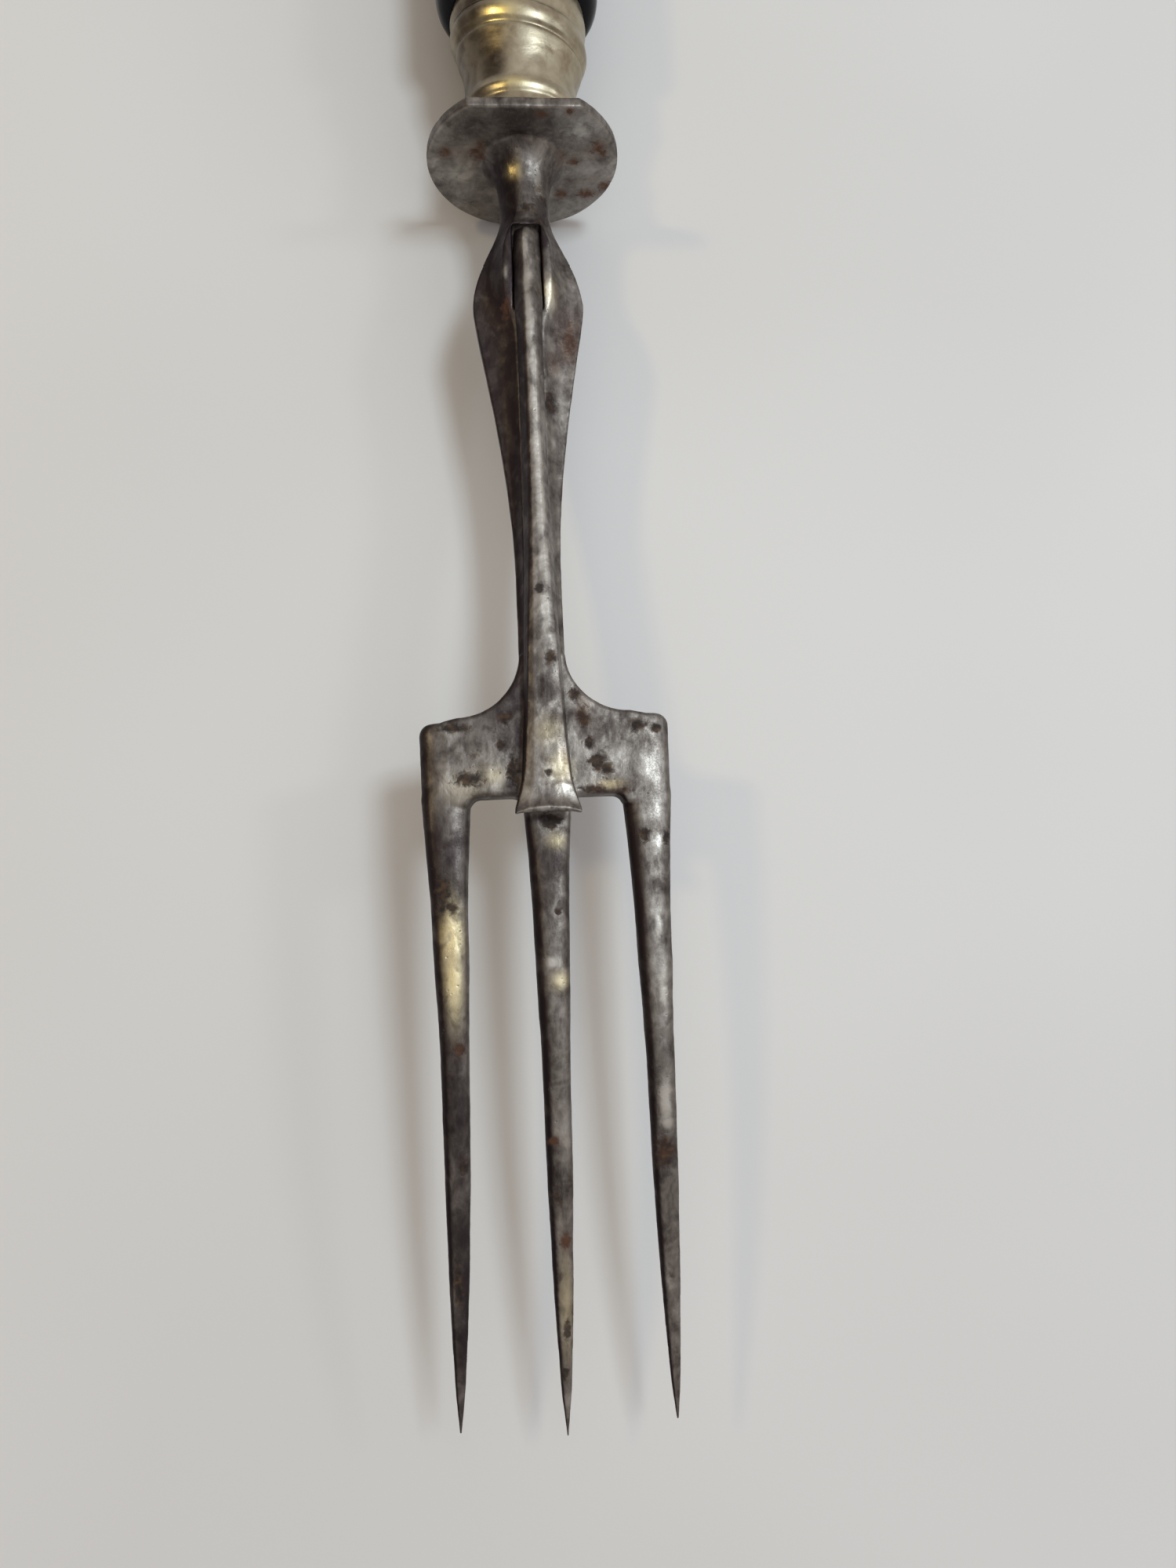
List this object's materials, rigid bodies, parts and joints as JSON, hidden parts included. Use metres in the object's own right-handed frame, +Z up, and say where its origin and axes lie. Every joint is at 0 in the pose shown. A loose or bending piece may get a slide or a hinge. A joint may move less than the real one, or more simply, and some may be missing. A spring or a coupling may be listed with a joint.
{
  "type": "carving fork",
  "caption": "Carving fork with long arched tines, a winged shank that carries a folding guard, a disc bolster, a beaded ferrule and a dark oval handle.",
  "frame": {"origin": "centre of the bounding box in X and Y, at the level of the surface that the fork lies on", "axes": "+X across the fork, +Y along it from the tines to the handle, +Z up, with the back of the fork and the guard upwards"},
  "size_m": [0.0316, 0.2968, 0.0247],
  "materials": {
    "steel": "worn, pitted and stained",
    "guard_steel": "worn bright on top, stained below",
    "pin_steel": "stained",
    "ferrule_metal": "polished, tarnished in the grooves",
    "handle_horn": "polished",
    "cement": "dull",
    "cap_metal": "polished, lightly tarnished",
    "burr_metal": "polished"
  },
  "bodies": {
    "fork": {"fork_forging": "steel", "guard_pin": "pin_steel", "ferrule": "ferrule_metal", "handle": "handle_horn", "tang_cement": "cement", "butt_cap": "cap_metal", "burr": "burr_metal"},
    "guard": {"guard": "guard_steel"}
  },
  "joints": [
    {"name": "guard_hinge", "type": "hinge", "parent": "fork", "child": "guard", "pos_m": [0, 0.00347, 0.0141], "axis": [-1, 0, 0], "range_deg": [0, 90]}
  ]
}
